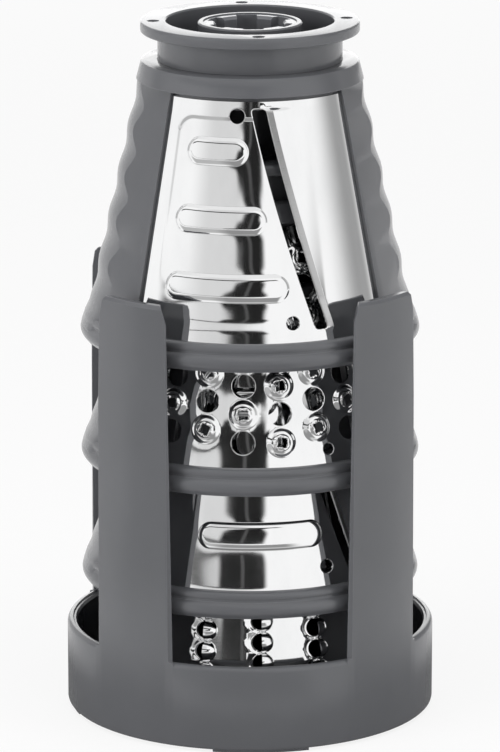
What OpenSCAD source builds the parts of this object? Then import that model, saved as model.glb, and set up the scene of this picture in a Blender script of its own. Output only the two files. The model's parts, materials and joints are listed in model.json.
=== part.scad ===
// Storage set of an electric grater: four conical cutting drums
// nested one over the other in a stand with four posts.
// Millimetres, +Z up, origin at the middle of the stand's underside, front towards -Y.

/* [Drum] */
// Height of a drum, from its bottom edge to the top of its flange
drum_h = 93.8; // [80:0.2:115]
// Step from one nested drum to the next, which is the length of a drive hub
nest_step = 36.8; // [30:0.2:45]
// Largest radius of the bead round the bottom of a drum
bead_r = 50; // [46:0.5:62]
// Height of that bead
bead_h = 7.9; // [6.5:0.1:10]
// Radius of the ribbed cone, carried down to the bottom edge
cone_low_r = 49.2; // [45:0.2:60]
// Radius of the ribbed cone at the underside of the shoulder
cone_top_r = 32.4; // [30:0.2:40]
// Wall of the moulded frame
frame_wall = 3.3; // [2.6:0.1:4]

/* [Side ribs] */
// Half angle that a side rib covers
rib_half = 40; // [34:1:44]
// Distance from one finger scallop to the next
scallop_pitch = 13.2; // [9:0.1:18]
// Depth of a finger scallop below the cone
scallop_depth = 0.4; // [0.2:0.05:0.8]
// Half angle of the scalloped band at the top of a rib
scallop_half_top = 14.5; // [10:0.5:18]
// Half angle of the scalloped band at the bottom of a rib
scallop_half_low = 19.5; // [14:0.5:22]

/* [Shoulder and collar] */
// Height of the shoulder's slanting band
band_h = 5.6; // [4.6:0.1:7]
// Outer radius of the collar's neck
neck_r = 27; // [25:0.1:28.5]
// Wall of the neck
neck_wall = 2.5; // [1.8:0.1:3.2]
// Outer radius of the top flange
flange_r = 32; // [29.5:0.1:33]
// Thickness of the top flange
flange_t = 3.3; // [2.4:0.1:4.5]

/* [Drive hub] */
// Outer radius of the hub tube
hub_r = 15.3; // [14.2:0.1:18]
// Wall of the hub tube
hub_wall = 1.6; // [1.2:0.1:2.2]
// Distance of the hub's top below the top of the flange
hub_drop = 0.5; // [0.2:0.1:2]
// Length of the lobed drive socket
socket_l = 23; // [16:1:28]
// Radius inside the six lugs of the socket
lug_r = 10; // [8:0.1:11]
// Radius at the root of the six grooves of the socket
groove_r = 12.6; // [11.4:0.1:12.8]
// Width of a groove
groove_w = 6; // [4:0.2:7]

/* [Steel sheets] */
// Thickness of a steel sheet
sheet_t = 0.6; // [0.5:0.1:1]
// Depth of a sheet below the face of the ribs
sheet_sink = 1.2; // [0.8:0.1:1.6]
// Width of the slot in the thick slicer
thick_slot_w = 4; // [3:0.1:5]
// Width of the slot in the thin slicer
thin_slot_w = 2.8; // [2:0.1:4]
// Height of the thick slicer's blade above its sheet
thick_rise = 1.9; // [1.2:0.1:2.4]
// Height of the thin slicer's blade above its sheet
thin_rise = 1.3; // [0.8:0.1:2]
// Height of an embossed ridge
ridge_rise = 1.1; // [0.6:0.1:1.6]
// Width of an embossed ridge
ridge_w = 8.6; // [6:0.1:10]
// Diameter of the rasp's plain holes
rasp_hole_d = 6.8; // [5:0.1:7.2]
// Diameter of a rasp point at its base
burr_base_d = 8.7; // [7:0.1:9]
// Height of a rasp point
burr_h = 1.5; // [0.8:0.1:2]
// Diameter of the coarse grater's holes
scoop_hole_d = 5.2; // [4:0.1:5.6]
// Outer radius of a grating tooth's half dome
scoop_r = 3.4; // [2.8:0.1:3.6]

/* [Stand] */
// Gap between the bead and the wall of the stand
stand_gap = 1.6; // [1:0.1:3]
// Wall of the stand
stand_wall = 3; // [2:0.1:4]
// Height of the cup's rim
rim_z = 26; // [20:1:34]
// Height of the posts
post_top = 132; // [100:1:150]
// Width of the chamfer along the edges of the posts
chamfer_w = 1.7; // [0.8:0.1:2.4]
// Thickness of the floor
floor_t = 1.5; // [1.2:0.1:3]
// Height of the four feet
foot_h = 0.8; // [0.5:0.1:2]
// Width of a foot
foot_w = 28; // [16:1:36]
// Width of the front and back openings at their top
front_gap_top = 54; // [44:0.5:58]
// Width of the front and back openings at the rim
front_gap_low = 50.8; // [40:0.5:54]
// Width of the side openings at their top
side_gap_top = 60.4; // [50:0.5:64]
// Width of the side openings at the rim
side_gap_low = 55.2; // [46:0.5:60]

/* [Hidden] */
KINDS = ["thick_slicer", "rasp", "thin_slicer", "coarse_grater"];

plastic = [0.42, 0.42, 0.43];
dark_plastic = [0.3, 0.3, 0.31];
steel = [0.86, 0.86, 0.88];

$fn = 96;
// Clearance of pieces that are pressed or moulded together
fit = 0.05;
// Overlap of a cutter beyond what it cuts
cut = 1;

// Levels in a drum, from its own bottom edge
neck_l = 8.1;
ledge_z = drum_h - flange_t - neck_l;
band_z = ledge_z - band_h;
seat_z = ledge_z - 2.4;
plate_t = 2.4;
hub_top = drum_h - hub_drop;
hub_low = hub_top - nest_step;
socket_low = hub_top - 0.3 - socket_l;
plate_r = neck_r + 1.4;

// Where each drum stands, with the top one first
floor_z = foot_h + floor_t;
function drum_z(place) = floor_z + nest_step * (3 - place);

// Small turns by which the drums lie in the photographed nest
turns = [1.5, 1, 0.5, 1];

// The cone of the ribs and the two faces of the sheets that lie below it
lean = (cone_low_r - cone_top_r) / band_z;
tilt = atan(lean);
function cone_r(z) = cone_low_r - lean * z;
function sheet_out(z) = cone_r(z) - sheet_sink;
function sheet_in(z) = sheet_out(z) - sheet_t;
function frame_in(z) = cone_r(z) - frame_wall;
function rib_in(z) = frame_in(z) + 0.5;
function ledge_r(z) = sheet_in(z) - 0.3;

// Ledges that carry the edges of a sheet
rebate_z = 6;
ledge_low_z = 10;
sheet_low_z = rebate_z + fit;
sheet_top_z = band_z - 1.3;
hook_z = band_z - 3.8;
sheet_half = 90 - rib_half - 0.3;
edge_land = 3.5;

function arc(cx, cy, r, from, to, steps) =
    [for (i = [0 : steps]) let (a = from + (to - from) * i / steps) [cx + r * cos(a), cy + r * sin(a)]];

// Places a child on the outer face of a sheet, with its Z along the normal and its X down the slope
module on_sheet(angle, z) {
    rotate([0, 0, angle - 90])
        translate([sheet_out(z), 0, z])
            rotate([0, 90 - tilt, 0])
                children();
}

// Frame: bead ring, two side ribs and shoulder in one moulding

low_ridge_r = 2.6;
top_ridge_r = 1.5;

module bead_section() {
    polygon(concat(
        [[frame_in(0), 0], [bead_r - 1.4, 0]],
        arc(bead_r - low_ridge_r, low_ridge_r, low_ridge_r, -58, 62, 8),
        arc(bead_r - 1.1 - top_ridge_r, bead_h - top_ridge_r, top_ridge_r, -40, 80, 6),
        [
            [sheet_out(bead_h) + fit, bead_h],
            [sheet_out(rebate_z) + fit, rebate_z],
            [ledge_r(rebate_z), rebate_z],
            [ledge_r(ledge_low_z), ledge_low_z],
            [frame_in(ledge_low_z), ledge_low_z]
        ]));
}

module shoulder_section() {
    polygon([
        [neck_r + fit, seat_z],
        [neck_r + fit, ledge_z],
        [cone_top_r - 1.5, ledge_z],
        [cone_top_r - 0.8, ledge_z - 0.3],
        [cone_top_r - 0.4, ledge_z - 1],
        [cone_top_r + 0.8, band_z],
        [ledge_r(band_z), band_z],
        [ledge_r(hook_z), hook_z],
        [frame_in(hook_z), hook_z],
        [plate_r + 0.1, band_z],
        [plate_r + 0.1, seat_z]
    ]);
}

function scallop(z) = scallop_depth * cos(360 * (z - ledge_z + 18.9) / scallop_pitch);

module rib_section() {
    wave_low = 12.2;
    steps = 40;
    low_edge = 2;
    polygon(concat(
        [
            [rib_in(low_edge), low_edge],
            [bead_r - 1.5, low_edge],
            [bead_r - 0.3, 4.2],
            [bead_r - 0.9, 6],
            [cone_r(7.8) + 0.9, 7.8],
            [cone_r(9.8) + 0.4, 9.8]
        ],
        [for (i = [0 : steps])
            let (z = wave_low + (band_z + 0.8 - wave_low) * i / steps)
            [cone_r(z) + scallop(z), z]],
        [[rib_in(band_z + 0.8), band_z + 0.8]]));
}

// Planes that flatten a rib on both sides of its scalloped band
module rib_flats() {
    middle = (rib_half + (scallop_half_top + scallop_half_low) / 2) / 2;
    flat_low_z = 10;
    flat_low_r = cone_r(flat_low_z) * cos(middle - scallop_half_low);
    flat_top_r = cone_r(band_z) * cos(middle - scallop_half_top);
    flat_tilt = atan((flat_low_r - flat_top_r) / (band_z - flat_low_z));
    for (side = [-1, 1])
        rotate([0, 0, side * middle])
            translate([flat_low_r, 0, flat_low_z])
                rotate([0, -flat_tilt, 0])
                    translate([0, -bead_r, -bead_r])
                        cube([bead_r, 2 * bead_r, drum_h + 2 * bead_r]);
}

module rib() {
    difference() {
        rotate([0, 0, -rib_half])
            rotate_extrude(angle = 2 * rib_half)
                rib_section();
        rib_flats();
    }
    // Land behind the edges of both sheets
    rotate([0, 0, -rib_half - edge_land])
        rotate_extrude(angle = 2 * (rib_half + edge_land))
            polygon([
                [rib_in(4), 4],
                [sheet_in(4) - fit, 4],
                [sheet_in(band_z - 1) - fit, band_z - 1],
                [rib_in(band_z - 1), band_z - 1]
            ]);
}

module frame() {
    color(plastic) {
        rotate_extrude() bead_section();
        rotate_extrude() shoulder_section();
        for (turn = [0, 180])
            rotate([0, 0, turn]) rib();
    }
}

// Collar: flange, neck, seat plate and hub tube in one moulding

dimple_r = 0.9;

module collar() {
    edge = 0.6;
    neck_in = neck_r - neck_wall;
    plate_z = seat_z - plate_t;
    bore = hub_r - hub_wall;
    lip = socket_low - 2;
    color(plastic)
        difference() {
            rotate_extrude()
                polygon(concat(
                    [
                        [hub_r, hub_low],
                        [hub_r, plate_z],
                        [plate_r, plate_z],
                        [plate_r, seat_z],
                        [neck_r, seat_z],
                        [neck_r, drum_h - flange_t],
                        [flange_r - edge, drum_h - flange_t]
                    ],
                    arc(flange_r - edge, drum_h - flange_t + edge, edge, -60, 0, 2),
                    arc(flange_r - edge, drum_h - edge, edge, 0, 90, 3),
                    [
                        [neck_in + 0.4, drum_h],
                        [neck_in, drum_h - 0.4],
                        [neck_in, seat_z],
                        [hub_r, seat_z],
                        [hub_r, hub_top - 0.4],
                        [hub_r - 0.4, hub_top],
                        [bore, hub_top],
                        [bore, socket_low],
                        [groove_r - 1, socket_low],
                        [groove_r - 1, lip],
                        [bore, lip - 1.5],
                        [bore, hub_low]
                    ]));
            for (quarter = [0 : 3])
                rotate([0, 0, 90 * quarter])
                    translate([(flange_r + neck_in) / 2, 0, drum_h - 0.5])
                        cylinder(h = cut, r = dimple_r, $fn = 24);
        }
}

// Drive socket: a lobed insert pressed into the hub tube

module drive_socket() {
    outer = hub_r - hub_wall - fit;
    lead = 0.8;
    color(dark_plastic)
        difference() {
            translate([0, 0, socket_low])
                cylinder(h = socket_l, r = outer);
            translate([0, 0, socket_low - cut])
                cylinder(h = socket_l + 2 * cut, r = lug_r);
            translate([0, 0, socket_low + socket_l - lead])
                cylinder(h = lead + cut, r1 = lug_r, r2 = lug_r + lead + cut);
            for (lobe = [0 : 5])
                rotate([0, 0, 30 + 60 * lobe])
                    translate([0, 0, socket_low - cut])
                        intersection() {
                            cylinder(h = socket_l + 2 * cut, r = groove_r);
                            translate([0, -groove_w / 2, 0])
                                cube([groove_r + 1, groove_w, socket_l + 2 * cut]);
                        }
        }
}

// Steel sheets

module blank() {
    rotate([0, 0, -90 - sheet_half])
        rotate_extrude(angle = 2 * sheet_half)
            polygon([
                [sheet_in(sheet_low_z), sheet_low_z],
                [sheet_out(sheet_low_z), sheet_low_z],
                [sheet_out(sheet_top_z), sheet_top_z],
                [sheet_in(sheet_top_z), sheet_top_z]
            ]);
}

module hole(angle, z, d) {
    on_sheet(angle, z)
        translate([0, 0, -4])
            cylinder(h = 8, d = d, $fn = 32);
}

// Slicer: a slanting slot, a raised blade beside it and embossed ridges

slot_low_z = 11;
slot_top_z = sheet_top_z - 2;
slant = 0.368;
function slot_angle(start, z) = start - slant * (z - slot_low_z);

// A point on the sheet at z, offset sideways from the middle of the slot by across
function beside(start, z, across) =
    let (angle = slot_angle(start, z) + across / sheet_out(z) * 180 / PI, r = sheet_out(z))
    [r * sin(angle), -r * cos(angle), z];

// The same point in the plane square to the slot's middle direction
function flat_point(start, z, across) =
    let (p = beside(start, z, across), a = slot_angle(start, (slot_low_z + slot_top_z) / 2))
    [p[0] * cos(a) + p[1] * sin(a), z];

// Bar that cuts the sheet from one line beside the slot to another
module strip(start, from, to, low, top) {
    steps = 8;
    function level(i) = low + (top - low) * i / steps;
    rotate([0, 0, slot_angle(start, (slot_low_z + slot_top_z) / 2)])
        translate([0, -20, 0])
            rotate([90, 0, 0])
                linear_extrude(height = 40)
                    polygon(concat(
                        [for (i = [0 : steps]) flat_point(start, level(i), to)],
                        [for (i = [steps : -1 : 0]) flat_point(start, level(i), from)]));
}

blade_lap = 0.3;

// Carries a child to the line where the blade bends out of its sheet, with X along that line
module at_bend(start, width, reach, back = false) {
    middle = (slot_low_z + slot_top_z) / 2;
    turn = slot_angle(start, middle) + (width / 2 + reach) / sheet_out(middle) * 180 / PI - 90;
    skew = atan(slant * PI / 180 * sheet_out(middle) * cos(tilt));
    if (back)
        rotate([0, 0, -skew])
            rotate([0, tilt - 90, 0])
                translate([-sheet_out(middle), 0, -middle])
                    rotate([0, 0, -turn])
                        children();
    else
        rotate([0, 0, turn])
            translate([sheet_out(middle), 0, middle])
                rotate([0, 90 - tilt, 0])
                    rotate([0, 0, skew])
                        children();
}

// Strip of sheet bent out along one side, whose free edge beside the slot is the cutting edge
module blade(start, width, reach, rise) {
    intersection() {
        at_bend(start, width, reach)
            rotate([-asin(rise / reach), 0, 0])
                at_bend(start, width, reach, back = true)
                    blank();
        strip(start, width / 2, width / 2 + reach + blade_lap, slot_low_z + 0.6, slot_top_z - 0.6);
    }
}

// A ridge pressed outwards, level round the cone, with round ends
module ridge(from, to, z) {
    half = ridge_w / 2;
    round_r = (half * half + ridge_rise * ridge_rise) / (2 * ridge_rise);
    sunk = sheet_t / 2;
    reach = asin(half / round_r);
    inset = half / sheet_out(z) * 180 / PI;
    rotate([0, 0, from + inset - 90])
        rotate_extrude(angle = to - from - 2 * inset)
            translate([sheet_out(z), z])
                rotate(tilt)
                    polygon(concat(
                        [[-sunk, -half], [-sunk, half]],
                        arc(ridge_rise - round_r, 0, round_r, reach, -reach, 6)));
    small = 0.98;
    for (end = [from + inset, to - inset])
        on_sheet(end, z)
            rotate_extrude()
                polygon(concat(
                    [[0, -sunk * small], [half * small, -sunk * small]],
                    [for (i = [0 : 3])
                        let (a = reach * (3 - i) / 3)
                        small * [round_r * sin(a), ridge_rise - round_r + round_r * cos(a)]]));
}

ridge_gap = 5.6;

module slicer_sheet(start, width, reach, rise) {
    levels = [61.4, 42.2, 23.2];
    ridge_left = -37.5;
    color(steel) {
        difference() {
            union() {
                blank();
                for (z = levels)
                    ridge(ridge_left, slot_angle(start, z) - ridge_gap / sheet_out(z) * 180 / PI, z);
            }
            strip(start, -width / 2, width / 2 + reach - blade_lap, slot_low_z, slot_top_z);
            hole(slot_angle(start, 71.5) - 11.5, 71.5, 4.4);
            hole(slot_angle(start, 13.3) - 10.6, 13.3, 4);
        }
        blade(start, width, reach, rise);
    }
}

// Rasp: plain holes and raised points set like a chessboard

rasp_step = 8;
rasp_turn = 14.2;
rasp_low = 14.9;
rasp_rows = 6;

module burr_body(angle, z) {
    on_sheet(angle, z)
        translate([0, 0, -sheet_t / 2])
            cylinder(h = burr_h + sheet_t / 2, d1 = burr_base_d, d2 = burr_base_d * 0.68, $fn = 32);
}

module burr_opening(angle, z) {
    wide = 4.3;
    on_sheet(angle, z) {
        translate([-wide / 2, -wide / 2, -3])
            cube([wide, wide, 8]);
        rotate([0, 0, 45])
            translate([0, 0, -3])
                cylinder(h = 3 + burr_h - 0.6, d = burr_base_d * 0.7, $fn = 32);
    }
}

rasp_lifts = [0, 0, 3.5, 2];
function rasp_angle(column) = rasp_turn * (column < 0 ? column + 0.5 : column - 0.5);
function rasp_z(column, step) = rasp_low + rasp_lifts[abs(column)] + rasp_step * step;
function is_burr(column, step) = (step + (column == -1 || abs(column) == 3 ? 1 : 0)) % 2 == 0;

RASP_COLUMNS = [-3, -2, -1, 1, 2, 3];

module rasp_sheet() {
    color(steel)
        difference() {
            union() {
                blank();
                for (c = RASP_COLUMNS, s = [0 : rasp_rows])
                    if (is_burr(c, s))
                        burr_body(rasp_angle(c), rasp_z(c, s));
            }
            for (c = RASP_COLUMNS, s = [0 : rasp_rows])
                if (is_burr(c, s))
                    burr_opening(rasp_angle(c), rasp_z(c, s));
                else
                    hole(rasp_angle(c), rasp_z(c, s), rasp_hole_d);
            hole(25.5, 11.8, 3.4);
        }
}

// Coarse grater: half domes that open to one side over round holes

scoop_step = 6;
scoop_turn = 22.7;
scoop_low = 15.7;
scoop_rows = 9;

module scoop_place(column, row) {
    on_sheet(scoop_turn * column, scoop_low + scoop_step * row + (column == 0 ? 0 : scoop_step / 2))
        children();
}

// Half dome, whose open side is the cutting lip
module scoop() {
    rotate_extrude(angle = 180, $fn = 24)
        polygon([
            [0, -sheet_t / 2],
            [scoop_r, -sheet_t / 2],
            [scoop_r - 1.5, scoop_r - 0.9],
            [0, scoop_r - 0.9]
        ]);
}

// Round hole and the hollow under its dome
module scoop_hollow() {
    r = scoop_hole_d / 2;
    rotate([0, 0, 160])
        rotate_extrude($fn = 24)
            polygon([[0, -3], [r, -3], [r, 0.2], [r - 1.2, scoop_r - 1.5], [0, scoop_r - 1.5]]);
}

module coarse_sheet() {
    color(steel)
        difference() {
            union() {
                blank();
                for (c = [-1 : 1], s = [0 : scoop_rows - 1])
                    scoop_place(c, s) scoop();
            }
            for (c = [-1 : 1], s = [0 : scoop_rows - 1])
                scoop_place(c, s) scoop_hollow();
        }
}

module sheet(kind) {
    if (kind == "thick_slicer") slicer_sheet(22.2, thick_slot_w, 9, thick_rise);
    if (kind == "rasp") rasp_sheet();
    if (kind == "thin_slicer") slicer_sheet(37, thin_slot_w, 5, thin_rise);
    if (kind == "coarse_grater") coarse_sheet();
}

// A piece of one drum, set where that drum stands in the nest
module placed(place, turn = 0) {
    translate([0, 0, drum_z(place)])
        rotate([0, 0, turns[place] + turn])
            children();
}

module sheet_in_place(place, turn) {
    placed(place, turn) sheet(KINDS[place]);
}

// Stand: a cup with four posts, moulded in one

stand_in = bead_r + stand_gap;
stand_out = stand_in + stand_wall;
// Levels at which the posts start inside the cup's wall and their top corners are cut
post_low = rim_z - 3;
post_corner = post_top - 5.4;

module stand_window(top_w, low_w) {
    spread = 1.4;
    over = spread * (1 + cut / (post_top - post_corner));
    rotate([90, 0, 0])
        linear_extrude(height = stand_out + cut)
            polygon([
                [-low_w / 2, post_low],
                [low_w / 2, post_low],
                [top_w / 2, post_corner],
                [top_w / 2 + over, post_top + cut],
                [-top_w / 2 - over, post_top + cut],
                [-top_w / 2, post_corner]
            ]);
}

// Cuts that chamfer the outer edges of the two posts beside a window
module post_chamfers(top_w, low_w) {
    height = post_corner - post_low;
    slope = atan((top_w - low_w) / 2 / height);
    corner = asin(low_w / 2 / stand_out);
    around = chamfer_w / stand_out * 180 / PI;
    edge = [low_w / 2, chamfer_w * 0.7 - stand_out * cos(corner)];
    face = stand_out * [sin(corner + around), -cos(corner + around)];
    for (side = [0, 1])
        mirror([side, 0, 0])
            translate([0, 0, post_low])
                rotate([0, slope, 0])
                    translate([0, 0, rim_z - post_low + 0.6])
                        linear_extrude(height = height)
                            polygon([edge - [cut, 0], edge, edge + 2 * (face - edge), edge + [4, -9], edge - [cut, 9]]);
}

module posts() {
    top_edge = 1;
    difference() {
        rotate_extrude()
            polygon([
                [stand_in, post_low],
                [stand_out, post_low],
                [stand_out, post_top - top_edge],
                [stand_out - top_edge * 0.7, post_top],
                [stand_in + 0.4, post_top],
                [stand_in, post_top - 0.4]
            ]);
        for (window = [[0, front_gap_top, front_gap_low], [90, side_gap_top, side_gap_low]], turn = [0, 180])
            rotate([0, 0, window[0] + turn]) {
                stand_window(window[1], window[2]);
                post_chamfers(window[1], window[2]);
            }
    }
}

module stand() {
    base_edge = 1;
    rim_edge = 1.5;
    step_r = stand_in + 1.1;
    color(plastic) {
        rotate_extrude()
            polygon(concat(
                [[0, foot_h], [stand_out - base_edge, foot_h]],
                arc(stand_out - base_edge, foot_h + base_edge, base_edge, -60, 0, 2),
                arc(stand_out - rim_edge, rim_z - rim_edge, rim_edge, 0, 90, 4),
                [
                    [step_r + 0.2, rim_z],
                    [step_r, rim_z - 0.5],
                    [stand_in + 0.5, rim_z - 0.5],
                    [stand_in, rim_z - 1.3],
                    [stand_in, floor_z],
                    [0, floor_z]
                ]));
        posts();
        for (quarter = [0 : 3])
            rotate([0, 0, 90 * quarter])
                intersection() {
                    translate([stand_out - 9, -foot_w / 2, 0])
                        cube([9, foot_w, foot_h + 0.4]);
                    difference() {
                        cylinder(h = foot_h + 0.4, r = stand_out - base_edge);
                        translate([0, 0, -cut]) cylinder(h = foot_h + 3, r = stand_out - 7);
                    }
                }
    }
}

stand();  // storage_stand
placed(0) frame();  // thick_slicer_frame
placed(0) collar();  // thick_slicer_collar
placed(0) drive_socket();  // thick_slicer_drive_socket
sheet_in_place(0, 0);  // thick_slicer_front_sheet
sheet_in_place(0, 180);  // thick_slicer_back_sheet
placed(1) frame();  // rasp_frame
placed(1) collar();  // rasp_collar
placed(1) drive_socket();  // rasp_drive_socket
sheet_in_place(1, 0);  // rasp_front_sheet
sheet_in_place(1, 180);  // rasp_back_sheet
placed(2) frame();  // thin_slicer_frame
placed(2) collar();  // thin_slicer_collar
placed(2) drive_socket();  // thin_slicer_drive_socket
sheet_in_place(2, 0);  // thin_slicer_front_sheet
sheet_in_place(2, 180);  // thin_slicer_back_sheet
placed(3) frame();  // coarse_grater_frame
placed(3) collar();  // coarse_grater_collar
placed(3) drive_socket();  // coarse_grater_drive_socket
sheet_in_place(3, 0);  // coarse_grater_front_sheet
sheet_in_place(3, 180);  // coarse_grater_back_sheet
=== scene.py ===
"""Set of four conical cutting drums of an electric grater, nested in a storage stand.

The drums, from the top: thick slicer, rasp, thin slicer, coarse grater.
The stand rests on the origin with its axis along Z, and the set's front faces -Y.
Lengths are worked out in millimetres and made metres as a mesh is written.
On a sheet, a place is an angle in degrees from the front and a level above the drum's bottom edge.
"""
import json
import math

import bmesh
import bpy
import numpy as np
from mathutils import Matrix, Vector
from mathutils.geometry import delaunay_2d_cdt
from mathutils.kdtree import KDTree

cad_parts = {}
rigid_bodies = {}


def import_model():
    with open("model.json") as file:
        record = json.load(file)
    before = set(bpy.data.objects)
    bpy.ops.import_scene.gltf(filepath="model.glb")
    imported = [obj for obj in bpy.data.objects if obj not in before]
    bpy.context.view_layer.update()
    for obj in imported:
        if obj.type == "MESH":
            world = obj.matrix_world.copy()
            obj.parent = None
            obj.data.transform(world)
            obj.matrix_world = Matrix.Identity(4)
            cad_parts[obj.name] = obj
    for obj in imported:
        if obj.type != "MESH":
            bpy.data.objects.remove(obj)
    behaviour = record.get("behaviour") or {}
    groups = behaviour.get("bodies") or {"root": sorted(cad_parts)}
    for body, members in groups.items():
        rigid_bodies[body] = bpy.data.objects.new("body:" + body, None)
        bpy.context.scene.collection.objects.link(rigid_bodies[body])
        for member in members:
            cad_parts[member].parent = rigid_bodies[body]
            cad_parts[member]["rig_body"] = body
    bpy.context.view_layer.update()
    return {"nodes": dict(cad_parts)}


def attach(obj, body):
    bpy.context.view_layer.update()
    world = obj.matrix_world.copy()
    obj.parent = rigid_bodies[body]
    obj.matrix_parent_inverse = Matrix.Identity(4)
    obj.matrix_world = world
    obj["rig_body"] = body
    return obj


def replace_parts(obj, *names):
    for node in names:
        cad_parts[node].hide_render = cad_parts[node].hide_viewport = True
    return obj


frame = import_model()
NODES = frame["nodes"]
MM = 0.001

# Sizes, as in the part's source
DRUM_H = 93.8
NEST_STEP = 36.8  # from the bottom edge of a drum to that of the next
CONE_LOW_R, CONE_TOP_R = 49.2, 32.4
FLANGE_T, NECK_L, BAND_H = 3.3, 8.1, 5.6
BAND_Z = DRUM_H - FLANGE_T - NECK_L - BAND_H
FLOOR_Z = 2.3
LEAN = (CONE_LOW_R - CONE_TOP_R) / BAND_Z
TILT = math.atan(LEAN)
SHEET_SINK, SHEET_T = 1.2, 0.6
SHEET_LOW_Z, SHEET_TOP_Z = 6.05, BAND_Z - 1.3
SHEET_HALF = 49.7  # half the degrees that a sheet spans
DRUMS = ["thick_slicer", "rasp", "thin_slicer", "coarse_grater"]
TURNS = {"thick_slicer": 1.5, "rasp": 1.0, "thin_slicer": 0.5, "coarse_grater": 1.0}
SIDES = {"front": 0, "back": 180}


def drum_z(kind):
    return FLOOR_Z + NEST_STEP * (3 - DRUMS.index(kind))


def grey(level, blue=0.0):
    return (level * (1 - blue), level, level * (1 + blue), 1)


def plastic(level):
    """The grey of the mouldings, which is a little blue."""
    return (level * 0.98, level, level * 1.075, 1)


def link_up(made):
    bpy.context.scene.collection.objects.link(made)
    return made


# Node trees, in which a sum of sockets adds its own Math nodes
class Graph:
    def __init__(self, tree):
        self.tree = tree

    def node(self, kind, settings=None, inputs=None, output=0):
        """Adds a node: its settings first, then the values or links of its sockets."""
        made = self.tree.nodes.new(kind)
        for key, value in (settings or {}).items():
            setattr(made, key, value)
        for key, value in (inputs or {}).items():
            self.feed(made.inputs[key], value)
        return Value(self, made.outputs[output]) if len(made.outputs) else made

    def feed(self, socket, value):
        if isinstance(value, Value):
            self.tree.links.new(value.socket, socket)
        else:
            socket.default_value = value

    def split(self, place):
        x = self.node("ShaderNodeSeparateXYZ", inputs={0: place})
        return x, x.beside("Y"), x.beside("Z")

    def join(self, x, y, z):
        return self.node("ShaderNodeCombineXYZ", inputs={0: x, 1: y, 2: z})

    def stretched(self, place, scale):
        return self.node("ShaderNodeMapping", inputs={"Vector": place, "Scale": scale})

    def noise(self, place, scale, detail=3.0, rough=0.5):
        inputs = {"Vector": place, "Scale": scale, "Detail": detail, "Roughness": rough}
        return self.node("ShaderNodeTexNoise", inputs=inputs)

    def mix(self, amount, first, second):
        inputs = {0: amount, 6: first, 7: second}
        return self.node("ShaderNodeMix", {"data_type": "RGBA"}, inputs, output=2)

    def blend(self, share, first, second):
        return self.node("ShaderNodeMixShader", inputs={0: share, 1: first, 2: second})


class Value:
    """A socket that is written in sums, products and ranges."""

    def __init__(self, graph, socket):
        self.graph = graph
        self.socket = socket

    def beside(self, output):
        """Another output of the same node."""
        return Value(self.graph, self.socket.node.outputs[output])

    def math(self, operation, *others):
        inputs = dict(enumerate([self, *others]))
        return self.graph.node("ShaderNodeMath", {"operation": operation}, inputs)

    def __add__(self, other):
        return self.math("ADD", other)

    def __mul__(self, other):
        return self.math("MULTIPLY", other)

    def __sub__(self, other):
        return self.math("SUBTRACT", other)

    def __rsub__(self, other):
        return self.graph.node("ShaderNodeMath", {"operation": "SUBTRACT"}, {0: other, 1: self})

    __radd__ = __add__
    __rmul__ = __mul__

    def rise(self, low, high):
        """0 below low, 1 above high, and a soft step between."""
        inputs = {"Value": self, "From Min": low, "From Max": high}
        return self.graph.node("ShaderNodeMapRange", {"interpolation_type": "SMOOTHSTEP"}, inputs)


class Material(Graph):
    def __init__(self, name):
        self.material = bpy.data.materials.new(name)
        self.material.use_nodes = True
        super().__init__(self.material.node_tree)
        self.tree.nodes.clear()
        self.out = self.node("ShaderNodeOutputMaterial")
        self.place = self.node("ShaderNodeTexCoord", output="Object")

    def surface(self, **values):
        """Finishes the material with the shader's values, each by its socket's name."""
        inputs = {name.replace("_", " "): value for name, value in values.items()}
        self.feed(self.out.inputs[0], self.node("ShaderNodeBsdfPrincipled", inputs=inputs))
        return self.material

    def bump(self, height, distance, strength=1.0, under=None):
        inputs = {"Height": height, "Distance": distance, "Strength": strength}
        if under is not None:
            inputs["Normal"] = under
        return self.node("ShaderNodeBump", inputs=inputs)


# Finishes
def moulded_grey(name, tone, roughness, edge):
    """Satin moulding: fine grain, faint clouding, a painted highlight on its corners and a few hairline
    scuffs.
    """
    m = Material(name)
    cloud = m.noise(m.place, 24.0, detail=4.0, rough=0.55)
    grain = m.noise(m.place, 2400.0, detail=2.0, rough=0.6)
    flow = m.noise(m.stretched(m.place, (1, 1, 0.12)), 150.0)
    scuff = m.noise(m.stretched(m.place, (1, 0.7, 0.03)), 900.0, detail=2.0)
    hair = scuff.rise(0.74, 0.8) * cloud.rise(0.52, 0.7)
    rounded = m.node("ShaderNodeBevel", {"samples": 6}, {"Radius": edge * MM})
    both = {0: rounded, 1: m.node("ShaderNodeNewGeometry", output="Normal")}
    alike = m.node("ShaderNodeVectorMath", {"operation": "DOT_PRODUCT"}, both, output="Value")
    # painted highlight: where the rounded normal parts from the face's own, at corners, the colour below
    # is made lighter
    painted_corner_highlight = (1 - alike).rise(0.004, 0.09)
    colour = m.mix(cloud.rise(0.3, 0.75), plastic(tone * 0.95), plastic(tone * 1.05))
    colour = m.mix(hair * 0.35, colour, plastic(tone * 1.9))
    colour = m.mix(painted_corner_highlight * 0.7, colour, plastic(tone * 1.75))
    return m.surface(
        Base_Color=colour,
        Roughness=cloud * 0.07 + grain * 0.05 + hair * 0.12 + (roughness - 0.06),
        Normal=m.bump(grain * 0.6 + flow * 0.4, 0.00002, 0.3, rounded),
    )


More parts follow.
